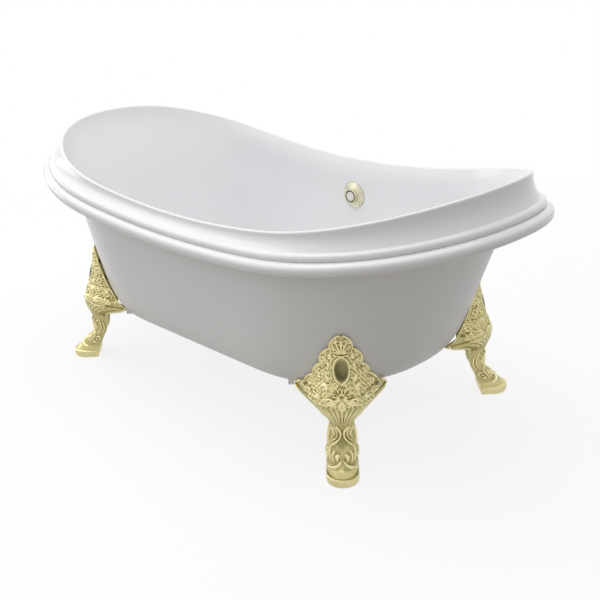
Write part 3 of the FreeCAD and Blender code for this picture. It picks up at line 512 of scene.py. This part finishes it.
def lay(samples, wide, high):
    """Raises the relief to a row of round profiles."""
    low_corner, high_corner = samples.min(0) - wide.max(), samples.max(0) + wide.max()
    near = np.where(np.all((flat > low_corner) & (flat < high_corner), 1))[0]
    if not len(near):
        return
    gap = np.linalg.norm(flat[near, None] - samples[None], axis=-1) / wide[None]
    profile = (high[None] * np.sqrt(np.clip(1 - gap ** 2, 0, 1))).max(1)
    relief[near] = np.maximum(relief[near], profile)


for stroke in ridges:
    lay(stroke[:, :2], stroke[:, 2], stroke[:, 3])

print("highest stroke", round(float(relief.max()), 2), "mm")

# %% [markdown]
# ## Small leaves in the gaps
# Between the main strokes the old carver left no ground bare. Drawing each small leaf by hand would
# take hundreds of lines, so rings are drawn round the oval, one outside the other, and leaves stand
# along them wherever the relief is still low. They alternate in direction by their place in the
# ring, which is a rule and not chance, so every run gives the same leg.

# %% Leaves by a rule
LEAF_RINGS, RING_WIDER, RING_TALLER = 21, 6.5, 6.0
LEAF_PITCH, LEAF_REACH, LEAF_BEND = 9.638, 6.0, 2.6
# Leaves keep below the top and above a foot, which is lower out on the wings.
LEAF_TOP, LEAF_FOOT, WING_FOOT, WING_STARTS = 398, 210, 200, 60
EDGE_ROOM, BARE_ROUND, BARE_BELOW = 4.0, 2.0, 1.6
leaf_widths = np.array([1.0, 1.6, 2.1, 2.5, 2.6, 2.4, 2.0, 1.5, 1.0])
leaf_heights = np.linspace(1.0, 2.4, len(leaf_widths))
leaf_share = np.linspace(-1, 1, len(leaf_widths))[:, None]
leaf_count = 0
for ring in range(1, LEAF_RINGS + 1):
    wider, taller = RING_WIDER * ring, RING_TALLER * ring
    mean_radius = math.hypot(OVAL_WIDE + wider, OVAL_HIGH + taller) / math.sqrt(2)
    in_ring = int(2 * math.pi * mean_radius / LEAF_PITCH)
    for step in range(in_ring):
        turn = math.pi * (2 * step + ring % 2) / in_ring
        spot = round_oval(turn, wider, taller)
        row = int(np.argmin(np.abs(height - spot[1])))
        lowest = LEAF_FOOT if abs(spot[0]) < WING_STARTS else WING_FOOT
        if not lowest < spot[1] < LEAF_TOP or abs(spot[0]) > along[row, -1] - EDGE_ROOM:
            continue
        if relief[np.hypot(*(flat - spot).T) < BARE_ROUND].max() > BARE_BELOW:
            continue
        sway = 0.5 * math.sin(1.7 * step + ring)
        bearing = turn + (1.0 if (step // 3 + ring) % 2 else -0.7) + sway
        leaf_way = np.array([math.cos(bearing), math.sin(bearing)])
        across_leaf = np.array([-leaf_way[1], leaf_way[0]])
        lay(spot + leaf_way * LEAF_REACH * leaf_share + across_leaf * LEAF_BEND * leaf_share ** 2,
            leaf_widths, leaf_heights)
        leaf_count += 1
print("small leaves in the gaps", leaf_count)

# %% [markdown]
# ## Border, stone and ground
# A narrow border follows the scalloped edge of the shield. The oval stone is a plain dome in its
# rim. What no stroke covers is ground, sunk a little so that the strokes cast shadows, and sunk
# twice as deep between the leaves of the fan. Down at the toe the metal stays smooth.

# %% Border, stone and ground
BORDER_FOOT, BORDER_INSET, BORDER_WIDE, BORDER_HIGH = 150, 2.6, 3.0, 3.2
STONE_RISE, SINK = 5.0, 1.6
FAN_MIDDLE, FAN_WIDE, FAN_HIGH = 251, 27, 21
TOE_TOP, TOE_FADE = 46, 8
border_rows = np.arange(0, DOWN, 2)
border_rows = border_rows[height[border_rows] > BORDER_FOOT]
for sign in (1, -1):
    line = (skin[border_rows, -1] + np.array([-BORDER_INSET, 0.0])) * np.array([sign, 1])
    lay(line, np.full(len(line), BORDER_WIDE), np.full(len(line), BORDER_HIGH))
relief = relief.reshape(DOWN, ACROSS)
oval_gap = np.hypot(skin[..., 0] / (OVAL_WIDE - 1), (skin[..., 1] - OVAL_MIDDLE) / (OVAL_HIGH - 1))
stone = STONE_RISE * np.sqrt(np.clip(1 - oval_gap ** 2, 0, 1))
relief = np.where(oval_gap < 1, stone, relief)
sunk = SINK * np.clip(1 - relief / 1.2, 0, 1) * (oval_gap > 1)
fan_gap = np.hypot(skin[..., 0] / FAN_WIDE, (skin[..., 1] - FAN_MIDDLE) / FAN_HIGH)
sunk += SINK * np.clip(1 - fan_gap, 0, 1) ** 0.5 * np.clip(1 - relief / 2.0, 0, 1)
toe = np.clip((TOE_TOP - skin[..., 1]) / TOE_FADE, 0, 1)
sunk *= 1 - toe
relief = relief - sunk
print("relief from", round(float(relief.min()), 2), "to", round(float(relief.max()), 2), "mm")

# %% [markdown]
# ## Two skins of the shield
# The relief pushes the skin out along its own normals. Behind it the casting has a wall, so the
# same arches are offset inwards, and the two skins are joined round the edges into one closed
# shell. A Solidify modifier could give the wall too, but it would copy every stroke to the inside.
# The carving's number is the relief over a softened copy of itself, so it tells crest from hollow,
# which the finish paints as highlight and shade. Two patches, in the fan and between the C-scrolls,
# get a darker painted shade still.


# %% Outer skin, inner skin and the carving's number
def grid_normals(grid):
    """Outward normals of a grid of points."""
    down, across = np.gradient(grid, axis=0), np.gradient(grid, axis=1)
    normal = np.cross(across, -down)
    return normal / np.maximum(np.linalg.norm(normal, axis=-1, keepdims=True), 1e-9)


def softened(field, passes):
    """The field, each value averaged with its neighbours, some passes over."""
    for _ in range(passes):
        padded = np.pad(field, 1, mode="edge")
        field = (padded[:-2, 1:-1] + padded[2:, 1:-1] + padded[1:-1, :-2] + padded[1:-1, 2:]
                 + 4 * padded[1:-1, 1:-1]) / 8
    return field


# Painted shade: the inner skin and the plate get a number a little under the plain field's, so they are
# coloured a little darker.
HIDDEN_SHADE_TONE, SOLE_TONE = 0.35, 0.62
# Middle height, half width and half height of each patch of darker painted shade.
PAINTED_SHADE_PATCHES = ((104, 17, 24), (247, 9, 16))
outward = grid_normals(arch_grid)
if outward[DOWN // 2, ACROSS // 2, 0] < 0:
    outward = -outward
relief = softened(relief, 1)
outer_skin = arch_grid + outward * relief[..., None]
around = softened(relief, 60)
carving = np.clip(0.50 + (relief - around) / 7.0 + (relief - 1.0) / 16, 0, 1)
shade_patch_gap = np.min([np.hypot(skin[..., 0] / wide, (skin[..., 1] - middle) / tall)
                    for middle, wide, tall in PAINTED_SHADE_PATCHES], axis=0)
# Painted shade: both patches are pushed down towards the dark hollow tone.
carving -= 0.36 * np.clip(1 - shade_patch_gap, 0, 1) ** 0.6 * (relief < 2.0)
carving = np.where(oval_gap < 0.95, -0.75 + 0.85 * np.clip(oval_gap, 0, 1) ** 5, carving)

picked = np.linspace(0, ACROSS - 1, INSIDE).round().astype(int)
thickness = np.minimum(WALL, 0.25 * half)[:, None, None]
inner_skin = (arch_grid - outward * thickness)[:, picked[::-1]]
shell = np.concatenate([outer_skin, inner_skin], 1)
shell_carving = np.concatenate([carving, np.full(inner_skin.shape[:2], HIDDEN_SHADE_TONE)], 1)
print("carving's number from", round(float(carving.min()), 2), "to", round(float(carving.max()), 2))

# %% [markdown]
# ## Faces from rings
# The two skins, the sole block and the mounting plate are each a stack of closed rings of points.
# One function makes the faces round such a stack and closes both its ends, so all three go into one
# mesh, which is written point by point.


# %% Faces round a stack of rings
def tube_faces(rings, count, first=0):
    """Quads round a stack of closed rings, and one face over each end."""
    index = first + np.arange(rings * count).reshape(rings, count)
    after = np.roll(index, -1, axis=1)
    quads = np.stack([index[:-1], index[1:], after[1:], after[:-1]], -1).reshape(-1, 4)
    return quads.tolist() + [index[0].tolist(), index[-1][::-1].tolist()]


vertices = shell.reshape(-1, 3)
carved = shell_carving.reshape(-1)
faces = tube_faces(DOWN, shell.shape[1])
print("shield", len(vertices), "points", len(faces), "faces")

# %% [markdown]
# ## Sole block
# Under the toe lies a separate rounded block, with a seam where the two meet. A bevelled cylinder
# would be quicker, but the real block has a straight heel and a round toe. So its plan is drawn by
# a function, and each level of its rounded edges is the same plan, set in a little.

# %% Rings of the sole block
SOLE_RADIUS, TOE_CENTRE, HEEL = 46.0, 2.0, -42.0
# Inset of the plan and level of each ring, from the floor up.
SOLE_BANDS = ((8.0, 0.0), (5.0, 0.7), (2.8, 2.2), (1.2, 4.8), (0.3, 9.0), (0.0, 15.0), (0.2, 21.5),
              (1.2, 24.3), (4.5, 26.0))


def sole_outline(inset):
    """Plan of the sole block: a straight heel and a round toe."""
    radius = SOLE_RADIUS - inset
    turn = np.radians(np.linspace(-90, 90, 72))
    toe_arc = np.stack([TOE_CENTRE + radius * np.cos(turn), radius * np.sin(turn)], -1)
    heel = np.array([(HEEL + inset, radius), (HEEL + inset, -radius)])
    back = np.linspace(toe_arc[-1], heel[0], 12)[1:-1]
    base = np.linspace(heel[0], heel[1], 16)
    forth = np.linspace(heel[1], toe_arc[0], 12)[1:-1]
    return np.vstack([toe_arc, back, base, forth])


sole_rings = []
for inset, level in SOLE_BANDS:
    outline = sole_outline(inset)
    sole_rings.append(np.column_stack([outline, np.full(len(outline), level)]))
sole_block = np.stack(sole_rings)
faces += tube_faces(len(SOLE_BANDS), sole_block.shape[1], len(vertices))
vertices = np.vstack([vertices, sole_block.reshape(-1, 3)])
carved = np.concatenate([carved, np.full(sole_block.size // 3, SOLE_TONE)])
print("sole block", sole_block.size // 3, "points")

# %% [markdown]
# ## Mounting plate, and the leg as a mesh
# A plate across the hollow of the shield carries the stud that holds the leg to the bath. It is
# hardly seen, so it is a plain slab with eased edges: four rings of four corners. With it the leg
# is whole. The carving's number goes into the mesh as an attribute, which the finish reads.

# %% Plate, mesh and attribute
PLATE_CORNERS = ((-78, 238), (78, 238), (65, 290), (-65, 290))
PLATE_BANDS = ((-100, 0.8), (-99.2, 0), (-90.8, 0), (-90, 0.8))
PLATE_MIDDLE = 260
plate_rings = []
for out_mm, inset in PLATE_BANDS:
    plate_rings.append([(out_mm, y - math.copysign(inset, y),
                         z + math.copysign(inset, PLATE_MIDDLE - z)) for y, z in PLATE_CORNERS])
plate = np.array(plate_rings)
faces += tube_faces(len(PLATE_BANDS), len(PLATE_CORNERS), len(vertices))
vertices = np.vstack([vertices, plate.reshape(-1, 3)])
carved = np.concatenate([carved, np.full(plate.size // 3, HIDDEN_SHADE_TONE)])

leg_mesh = bpy.data.meshes.new("carved_leg")
leg_mesh.from_pydata((vertices / 1000).tolist(), [], faces)
leg_mesh.validate()
layer = leg_mesh.attributes.new("carving", "FLOAT", "POINT")
layer.data.foreach_set("value", carved.astype(np.float32))
leg_mesh.materials.append(leg_gilding)
print("leg mesh", len(leg_mesh.vertices), "points", len(leg_mesh.polygons), "faces")

# %% [markdown]
# ## Facing the right way
# Faces made from rows of points may wind inwards. Blender can turn each closed island so that it
# faces out, which is safer than minding the order of every ring, and then smooth shading is
# switched on except across sharp corners.

# %% Normals and smooth shading
SHARP_FROM = 50
work = bmesh.new()
work.from_mesh(leg_mesh)
bmesh.ops.recalc_face_normals(work, faces=work.faces)
work.to_mesh(leg_mesh)
work.free()
leg_mesh.shade_smooth()
leg_mesh.set_sharp_from_angle(angle=math.radians(SHARP_FROM))
print("edges are sharp from", SHARP_FROM, "degrees")

# %% [markdown]
# ## Four legs round the bath
# The bath stands on four equal legs, turned towards its corners. Each gets its own copy of the
# mesh, already in its place, and takes over from the plain packed leg there. Four objects could
# share one mesh, but each leg is a piece of its own that can be taken off, so each has its own.

# %% A leg at each corner
LEG_PLACES = {"front_right": (LEG_OUT, -LEG_ASIDE, -LEG_TURN),
              "back_right": (LEG_OUT, LEG_ASIDE, LEG_TURN),
              "back_left": (-LEG_OUT, LEG_ASIDE, 180 - LEG_TURN),
              "front_left": (-LEG_OUT, -LEG_ASIDE, LEG_TURN - 180)}
for place, (x, y, turn) in LEG_PLACES.items():
    own_mesh = leg_mesh.copy()
    own_mesh.transform(Matrix.Translation((x, y, 0)) @ Matrix.Rotation(math.radians(turn), 4, "Z"))
    leg = bpy.data.objects.new("carved_leg_" + place, own_mesh)
    bpy.context.scene.collection.objects.link(leg)
    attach(leg, "bath")
    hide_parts("foot_" + place)
print("legs stand at", list(LEG_PLACES))

# %% [markdown]
# ## Gilded brass
# The metal round the drain is gilded like the legs, but turned and polished, and the overflow's
# cover plate is paler than that. Both are the finish of the legs without the carving's number, in
# tones of their own, because a new finish for each would repeat the same sums.

# %% Gilding of the fittings
polished_gilding = gilding("polished_gilding", (0.62, 0.56, 0.27), (0.84, 0.78, 0.46), 0.75, 0.16)
cover_gilding = gilding("cover_gilding", (0.66, 0.62, 0.44), (0.86, 0.83, 0.66), 0.45, 0.20)
print("gilded fittings", polished_gilding.name, cover_gilding.name)

# %% [markdown]
# ## The dial's ring of painted shade
# The dial in the cover plate has a groove round a pale cap, and the groove is painted dark as
# shade. It could be a picture laid on the face, but a ring is only a distance from the dial's axis,
# which lies along y at a known height, so the finish measures that distance and colours a narrow
# band of it dark.

# %% A finish with a ring of painted shade
DIAL_HEIGHT = 0.524
RING_STARTS, RING_ENDS, CAP_ENDS = (0.0164, 0.0170), (0.0212, 0.0220), (0.0170, 0.0215)
# The groove's dark tone is painted shade.
CAP_TONE, RIM_TONE, GROOVE_SHADE_TONE = (0.86, 0.855, 0.82), (0.78, 0.74, 0.52), (0.13, 0.105, 0.05)
WORN_TONE = (0.88, 0.86, 0.78)
dial_finish, start = new_finish("ringed_dial")
place = start.add("TexCoord", output="Object")
off_side = start.add("SeparateXYZ", sockets={"Vector": place}, output="X")
off_height = start.add("SeparateXYZ", sockets={"Vector": place}, output="Z") - DIAL_HEIGHT
from_axis = (off_side * off_side + off_height * off_height) ** 0.5
# Painted shade: the band between cap and rim, where the groove is, is coloured dark.
groove_shade = from_axis.between(*RING_STARTS) - from_axis.between(*RING_ENDS)
wear = start.noise(150.0, 4.0)
cap_or_rim = from_axis.between(*CAP_ENDS).mix(CAP_TONE, RIM_TONE)
dial_colour = wear.between(0.3, 0.8).mix(groove_shade.mix(cap_or_rim, GROOVE_SHADE_TONE), WORN_TONE, "MULTIPLY")
glaze(start, Base_Color=dial_colour, Metallic=groove_shade * 0.6, Roughness=0.18 + wear * 0.1,
      Normal=start.bump(wear, 0.0002, 0.3))
print("the groove is about", round((RING_ENDS[1] - RING_STARTS[0]) * 1000, 1), "mm wide")

# %% [markdown]
# ## Plain brass, zinc, rubber and cable
# The pipes are plain brass, which is the gilding once more in browner tones. The fixings are
# zinc-plated steel with a faint spangle, the seals dull black rubber with a grey bloom, and the
# control cable is wound wire. Each is one finish shared by all the nodes of that material. A wave
# on a slant stands in for the cable's coils, which would be thousands of faces, and its dark bands
# are painted shade between the coils.

# %% Finishes of pipes, fixings, seals and cable
plain_brass = gilding("turned_brass", (0.48, 0.35, 0.13), (0.62, 0.47, 0.20), 0.9, 0.24)

zinc, start = new_finish("zinc_plating")
place = start.add("TexCoord", output="Object")
spangle = start.add("TexVoronoi", {"feature": "F1"}, {"Scale": 160.0, "Vector": place}, output="Color")
grey = start.add("RGBToBW", sockets={"Color": spangle})
glaze(start, Base_Color=grey.mix((0.42, 0.43, 0.45), (0.62, 0.63, 0.66)), Metallic=1.0,
      Roughness=0.28 + grey * 0.18, Normal=start.bump(start.noise(500.0), 0.0002, 0.3))

rubber, start = new_finish("seal_rubber")
bloom = start.noise(60.0, 4.0)
glaze(start, Base_Color=bloom.between(0.4, 0.7).mix((0.012, 0.012, 0.013), (0.035, 0.034, 0.033)),
      Roughness=0.62 + bloom * 0.2, Normal=start.bump(start.noise(900.0), 0.0002, 0.4))

wound_wire, start = new_finish("wound_wire")
place = start.add("TexCoord", output="Object")
# Painted shade: dark bands between the coils, which also drive the bump.
coil_shade_bands = start.add("TexWave", {"wave_type": "BANDS", "bands_direction": "DIAGONAL"},
                  {"Vector": place, "Scale": 260.0, "Distortion": 0.4}, output="Fac")
glaze(start, Base_Color=coil_shade_bands.mix((0.18, 0.18, 0.19), (0.55, 0.55, 0.57)), Metallic=1.0,
      Roughness=0.35 + coil_shade_bands * 0.1, Normal=start.bump(coil_shade_bands, 0.0003, 0.6))
print("finishes made here", sorted(m.name for m in (plain_brass, zinc, rubber, wound_wire)))

# %% [markdown]
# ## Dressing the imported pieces
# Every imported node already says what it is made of, in the name of its material slot. Its finish is
# looked up by that name, so no node is dressed by hand, and only the overflow's two visible pieces
# have a finish of their own.

# %% A finish for every slot
SLOT_FINISHES = {"enamel": enamel, "gilded_iron": leg_gilding, "gilded_brass": polished_gilding,
                 "plain_brass": plain_brass, "zinc_steel": zinc, "black_rubber": rubber,
                 "steel_cable": wound_wire}
OWN_FINISHES = {"overflow_plate": cover_gilding, "overflow_dial": dial_finish}
for name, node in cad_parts.items():
    for slot in node.material_slots:
        kind = slot.material.name.split(".")[0] if slot.material else ""
        slot.material = OWN_FINISHES.get(name, SLOT_FINISHES.get(kind, enamel))
    print(name, [s.material.name for s in node.material_slots], len(node.data.polygons))

# %% [markdown]
# ## Floor
# The bath was photographed on seamless white. The floor is a large pale sheet. To the camera it is
# white and keeps a soft shadow, while the light that it throws back on the bath stays that of a
# warm grey studio floor. Lighting the sheet until it turned white would wash out the enamel, so the
# white is only there for rays that come from the camera, straight, mirrored or through glass.

# %% A floor that is white to the camera
FLOOR_REACH = 30.0
FLOOR_GREY, FLOOR_WHITE = (0.40, 0.375, 0.335), (0.97, 0.97, 0.97)
SHADOW_SHARE, FADE_STARTS, FADE_ENDS = 0.16, 1.2, 3.0


def seen_by_camera(wire):
    """1 for rays that show a place to the camera, straight, mirrored or through glass."""
    seen = wire.add("LightPath", output="Is Camera Ray")
    for other in ("Is Glossy Ray", "Is Transmission Ray"):
        seen = seen.maths("MAXIMUM", seen, wire.add("LightPath", output=other))
    return seen


floor_mesh = bpy.data.meshes.new("studio_floor")
corners = [(-FLOOR_REACH, -FLOOR_REACH, 0), (FLOOR_REACH, -FLOOR_REACH, 0),
           (FLOOR_REACH, FLOOR_REACH, 0), (-FLOOR_REACH, FLOOR_REACH, 0)]
floor_mesh.from_pydata(corners, [], [(0, 1, 2, 3)])
floor = bpy.data.objects.new("studio_floor", floor_mesh)
bpy.context.scene.collection.objects.link(floor)
floor_finish, start = new_finish("studio_floor")
seen = seen_by_camera(start)
position = start.add("NewGeometry", output="Position")
distance = start.add("VectorMath", {"operation": "LENGTH"}, {0: position}, output="Value")
paper = start.add("BsdfDiffuse", sockets={"Color": seen.mix(FLOOR_GREY, FLOOR_WHITE)})
white = start.add("Emission", sockets={"Color": (1, 1, 1, 1), "Strength": 1.0})
fade = distance.between(FADE_STARTS, FADE_ENDS) * SHADOW_SHARE
share = seen * ((1 - SHADOW_SHARE) + fade)
sheet = start.add("MixShader", sockets={0: share, 1: paper, 2: white})
start.add("OutputMaterial", sockets={"Surface": sheet})
floor_mesh.materials.append(floor_finish)
print("floor", floor.name, "is", 2 * FLOOR_REACH, "m wide")

# %% [markdown]
# ## White surroundings
# Round the bath there is only white. Its light on the bath is held at half strength, since lamps
# make the forms, and full white would flatten them. Rays from the camera see the full white, by the
# same switch as on the floor.

# %% White for the camera, half for the bath
AMBIENT = 0.50
world = bpy.data.worlds.new("white_studio")
bpy.context.scene.world = world
world.use_nodes = True
world.node_tree.nodes.clear()
start = Wire(world.node_tree)
ambient = start.add("Background", sockets={"Color": (1, 1, 1, 1), "Strength": AMBIENT})
backdrop = start.add("Background", sockets={"Color": (1, 1, 1, 1), "Strength": 1.0})
both = start.add("MixShader", sockets={0: seen_by_camera(start), 1: ambient, 2: backdrop})
start.add("OutputWorld", sockets={"Surface": both})
print("surroundings", world.name)

# %% [markdown]
# ## Lamps
# The photograph's light is soft and comes from above and from the bath's left-hand end, so its
# right end is the darker one. Four large square lamps give that. A picture of a real room round the
# bath could light it too, but it would show in the enamel, where the photograph shows plain white.

# %% Soft square lamps
BATH_MIDDLE = Vector((0, 0, 0.5))


def soft_lamp(name, place, size, watts):
    """A square lamp that is aimed at the middle of the bath."""
    lamp = bpy.data.objects.new(name, bpy.data.lights.new(name, "AREA"))
    lamp.data.shape = "SQUARE"
    lamp.data.size = size
    lamp.data.energy = watts
    lamp.location = place
    lamp.rotation_euler = (BATH_MIDDLE - lamp.location).to_track_quat("-Z", "Y").to_euler()
    bpy.context.scene.collection.objects.link(lamp)


soft_lamp("overhead", (-0.2, 0.1, 3.9), 3.6, 68)
soft_lamp("left_low", (-4.2, -1.2, 1.0), 2.0, 24)
soft_lamp("left_high", (-2.6, -0.6, 3.4), 2.6, 25)
soft_lamp("front_left", (-2.4, -3.6, 2.4), 2.6, 14)

# %% [markdown]
# ## Camera
# The picture was taken from the front right, a little above the rim, with a mild roll. The
# viewpoint comes from lining up the rim, the soles and the wing tips with the photograph. The three
# angles tip the camera up from straight down, roll it, and swing it round the bath.

# %% The photograph's viewpoint
CAMERA_PLACE = (2.13172, -2.01652, 1.47773)
CAMERA_TIP, CAMERA_ROLL, CAMERA_SWING = 67.33946, 1.58655, 44.40526
camera = bpy.data.objects.new("photo_camera", bpy.data.cameras.new("photo_camera"))
bpy.context.scene.collection.objects.link(camera)
camera_angles = Euler([math.radians(a) for a in (CAMERA_TIP, CAMERA_ROLL, CAMERA_SWING)])
camera.matrix_world = Matrix.Translation(CAMERA_PLACE) @ camera_angles.to_matrix().to_4x4()
camera.data.sensor_width = 36.0
camera.data.lens = 58.02
camera.data.shift_x = -0.0016
camera.data.shift_y = -0.0006
camera.data.clip_end = 100.0
bpy.context.scene.camera = camera
bpy.context.scene.view_settings.view_transform = "Standard"
print("camera at", [round(v, 3) for v in camera.location])
